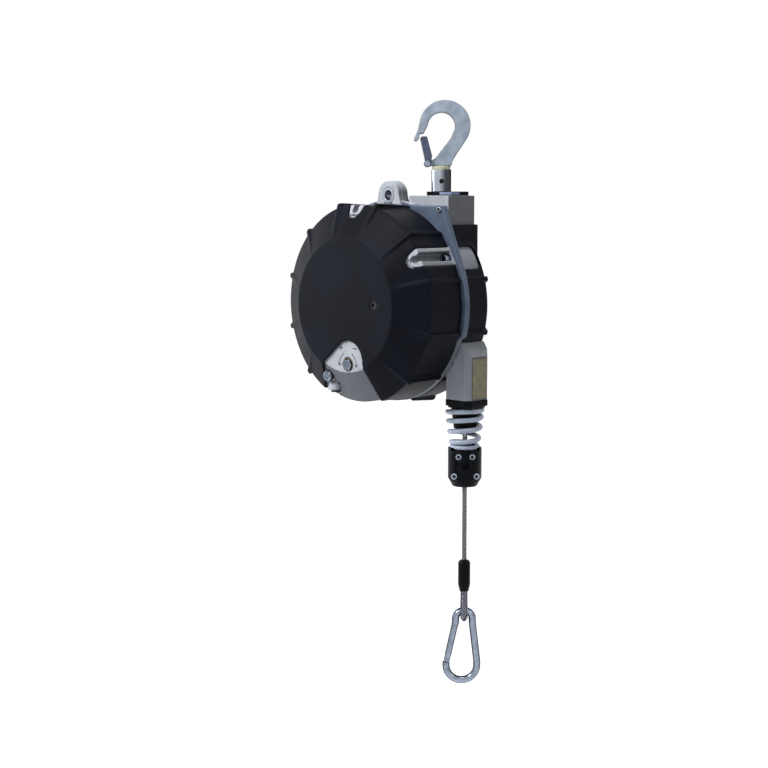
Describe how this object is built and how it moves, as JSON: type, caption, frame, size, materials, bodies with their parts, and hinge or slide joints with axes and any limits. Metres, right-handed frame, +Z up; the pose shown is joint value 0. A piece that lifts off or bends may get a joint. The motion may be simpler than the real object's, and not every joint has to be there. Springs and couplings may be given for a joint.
{
  "type": "tool balancer",
  "caption": "Spring balancer with a ribbed round housing, a swivelling safety hook, a rope stop with conical buffer spring, and a wire rope ending in a snap hook.",
  "frame": {"origin": "seat of the top hook, on the swivel axis: the highest point inside the hook's bowl", "axes": "+Z up along the swivel axis; -Y out of the front cover along the drum axis; +X from the drum axis towards the rope"},
  "size_m": [0.2154, 0.134, 0.6081],
  "materials": {
    "zinc_steel": "satin",
    "forged_steel": "satin",
    "cast_alu": "matte",
    "cover_black": "satin",
    "block_grey": "satin",
    "black_plate": "matte",
    "yellow_ring": "matte",
    "steel": "satin",
    "spring_steel": "satin",
    "bronze": "satin",
    "black_steel": "satin",
    "stop_black": "satin",
    "guide_black": "satin",
    "wire": "satin",
    "sleeve_black": "matte",
    "label_white": "satin"
  },
  "bodies": {
    "hook": {"top_hook": "forged_steel", "latch_pin": "zinc_steel", "hook_ring": "yellow_ring", "swivel_shank": "zinc_steel", "hook_pin": "black_steel", "thrust_bearing": "steel", "swivel_nut": "steel"},
    "latch": {"hook_latch": "black_steel"},
    "housing": {"front_housing": "cast_alu", "rear_housing": "block_grey", "front_cover": "cover_black", "rear_cover": "cover_black", "swivel_bush": "bronze", "swivel_plate": "black_plate", "flange_screws": "zinc_steel", "corner_screw": "zinc_steel", "foot_screw": "zinc_steel", "cover_screws": "zinc_steel", "lug_bush": "steel", "front_bush": "bronze", "rear_bush": "bronze", "adjuster_bush": "bronze", "rating_plate": "label_white", "neck_collar": "stop_black", "rope_guide": "guide_black"},
    "arbor": {"main_shaft": "steel", "tension_gear": "steel", "bearing_inner_rings": "steel"},
    "adjuster": {"adjuster_pinion": "zinc_steel"},
    "drum": {"rope_drum": "cast_alu", "spring_case": "steel", "spring_lid": "steel", "power_spring": "spring_steel", "bearing_outer_rings": "steel", "rope_turns": "wire", "pawl_pin": "steel"},
    "pawl": {"safety_pawl": "steel"},
    "lock": {"drum_lock_pin": "zinc_steel"},
    "buffer": {"buffer_spring": "spring_steel"},
    "load": {"rope_run": "wire", "rope_in_stop": "wire", "stop_front_half": "stop_black", "stop_rear_half": "stop_black", "stop_screws": "zinc_steel", "wire_rope": "wire", "rope_sleeve": "sleeve_black", "rope_ferrule": "steel", "rope_eye": "wire", "thimble": "zinc_steel"},
    "snap": {"snap_hook": "zinc_steel", "gate_pin": "zinc_steel"},
    "gate": {"snap_gate": "zinc_steel"}
  },
  "joints": [
    {"name": "hook_latch", "type": "hinge", "parent": "hook", "child": "latch", "pos_m": [-0.01018, -0.01018, -0.052], "axis": [-0.7071, 0.7071, 0], "range_deg": [0, 28], "stiffness_Nm_per_rad": 0.02, "springref_deg": -34.38},
    {"name": "hook_swivel", "type": "hinge", "parent": "hook", "child": "housing", "pos_m": [0, 0, -0.0804], "axis": [0, 0, 1], "continuous": true},
    {"name": "spring_preload", "type": "hinge", "parent": "housing", "child": "arbor", "pos_m": [-0.05, -0.022, -0.1967], "axis": [0, 1, 0], "range_deg": [0, 360]},
    {"name": "adjuster_spin", "type": "hinge", "parent": "housing", "child": "adjuster", "pos_m": [-0.047, -0.022, -0.2573], "axis": [0, 1, 0], "range_deg": [-2160, 0]},
    {"name": "drum_spin", "type": "hinge", "parent": "housing", "child": "drum", "pos_m": [-0.05, -0.022, -0.1967], "axis": [0, 1, 0], "range_deg": [0, 1350], "stiffness_Nm_per_rad": 0.25, "springref_deg": -458.37},
    {"name": "rope_travel", "type": "slide", "parent": "housing", "child": "load", "axis": [0, 0, -1], "range_m": [0, 2], "deforming": ["rope_run"]},
    {"name": "safety_pawl", "type": "hinge", "parent": "drum", "child": "pawl", "pos_m": [-0.05, 0.008, -0.1352], "axis": [0, -1, 0], "range_deg": [0, 10], "stiffness_Nm_per_rad": 0.05, "springref_deg": -28.65},
    {"name": "drum_lock", "type": "slide", "parent": "housing", "child": "lock", "axis": [0, 1, 0], "range_m": [0, 0.006]},
    {"name": "buffer_squeeze", "type": "slide", "parent": "housing", "child": "buffer", "axis": [0, 0, 1], "range_m": [0, 0.012], "stiffness_N_per_m": 4000, "deforming": ["buffer_spring"]},
    {"name": "snap_hook_swing", "type": "hinge", "parent": "load", "child": "snap", "pos_m": [0.03488, 0, -0.51714], "axis": [0.7071, 0.7071, 0], "range_deg": [-30, 30]},
    {"name": "snap_gate", "type": "hinge", "parent": "snap", "child": "gate", "pos_m": [0.02258, -0.0123, -0.56842], "axis": [-0.7071, 0.7071, 0], "range_deg": [0, 18], "stiffness_Nm_per_rad": 0.02, "springref_deg": -34.38}
  ],
  "couplings": [
    {"joint": "adjuster_spin", "follows": "spring_preload", "ratio": -6},
    {"joint": "rope_travel", "follows": "drum_spin", "m_per_rad": 0.08488}
  ]
}
